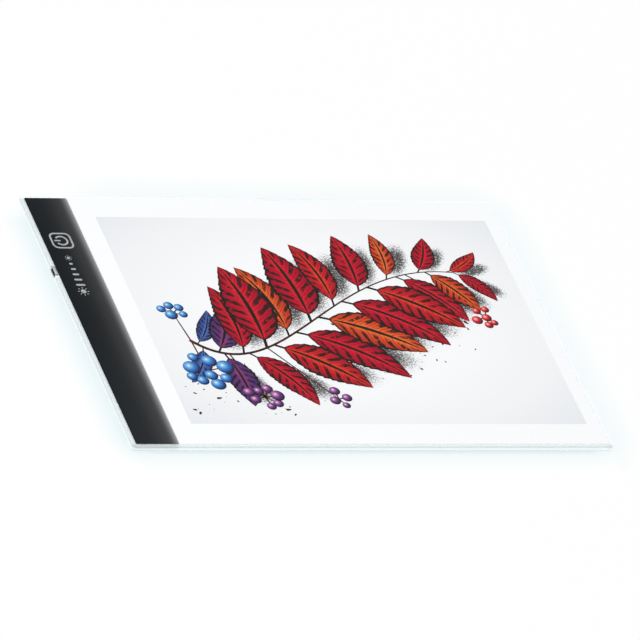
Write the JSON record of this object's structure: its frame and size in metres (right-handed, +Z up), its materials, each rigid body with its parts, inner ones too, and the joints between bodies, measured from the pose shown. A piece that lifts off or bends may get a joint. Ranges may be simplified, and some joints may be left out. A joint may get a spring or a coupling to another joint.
{
  "type": "led tracing pad",
  "caption": "Thin edge-lit light pad for tracing: opal writing surface, black touch strip along one short side, USB power socket in that side, loose paper sheet on top.",
  "frame": {"origin": "centre of the pad's outline at floor level, under the rubber feet", "axes": "+X along the long side away from the black strip, +Y towards the far long side, +Z up"},
  "size_m": [0.36, 0.255, 0.0058],
  "materials": {
    "clear_acrylic": "clear acrylic sheet with polished edges that glow",
    "opal_panel": "opal white, satin, lit from below",
    "black_strip": "black, glossy, fading to grey beside the panel",
    "back_sheet": "white, fine grained",
    "white_film": "white film",
    "clear_tape": "double-sided tape",
    "white_board": "white solder mask",
    "green_board": "green solder mask",
    "led_package": "white housing with a yellow phosphor window",
    "black_package": "moulded black package",
    "tan_ceramic": "fired ceramic",
    "socket_steel": "nickel-plated sheet steel",
    "contact_gold": "gold-plated",
    "red_insulation": "red insulation",
    "black_insulation": "black insulation",
    "grey_foam": "closed-cell foam",
    "foot_rubber": "translucent grey rubber",
    "paper_sheet": "smooth printed paper"
  },
  "bodies": {
    "pad": {"light_guide_plate": "clear_acrylic", "top_panel": "opal_panel", "control_strip": "black_strip", "back_cover": "back_sheet", "diffuser_film": "white_film", "reflector_film": "white_film", "panel_tape": "clear_tape", "strip_tape": "clear_tape", "back_tape": "clear_tape", "led_bar_board": "white_board", "led_01": "led_package", "led_02": "led_package", "led_03": "led_package", "led_04": "led_package", "led_05": "led_package", "led_06": "led_package", "led_07": "led_package", "led_08": "led_package", "led_09": "led_package", "led_10": "led_package", "led_11": "led_package", "led_12": "led_package", "led_13": "led_package", "led_14": "led_package", "led_15": "led_package", "led_16": "led_package", "led_17": "led_package", "led_18": "led_package", "led_19": "led_package", "led_20": "led_package", "led_21": "led_package", "led_22": "led_package", "led_23": "led_package", "led_24": "led_package", "control_board": "green_board", "touch_foam": "grey_foam", "touch_chip": "black_package", "driver_transistor": "black_package", "resistor_1": "black_package", "resistor_2": "black_package", "resistor_3": "black_package", "capacitor_1": "tan_ceramic", "capacitor_2": "tan_ceramic", "usb_shell": "socket_steel", "usb_tongue": "black_package", "usb_contacts": "contact_gold", "led_lead_positive": "red_insulation", "led_lead_negative": "black_insulation", "strip_support_foam": "grey_foam", "foot_front_left": "foot_rubber", "foot_front_right": "foot_rubber", "foot_rear_left": "foot_rubber", "foot_rear_right": "foot_rubber"},
    "sheet": {"drawing_sheet": "paper_sheet"}
  },
  "joints": [
    {"name": "sheet_lift", "type": "slide", "parent": "pad", "child": "sheet", "axis": [0, 0, 1], "range_m": [0, 0.06]}
  ]
}
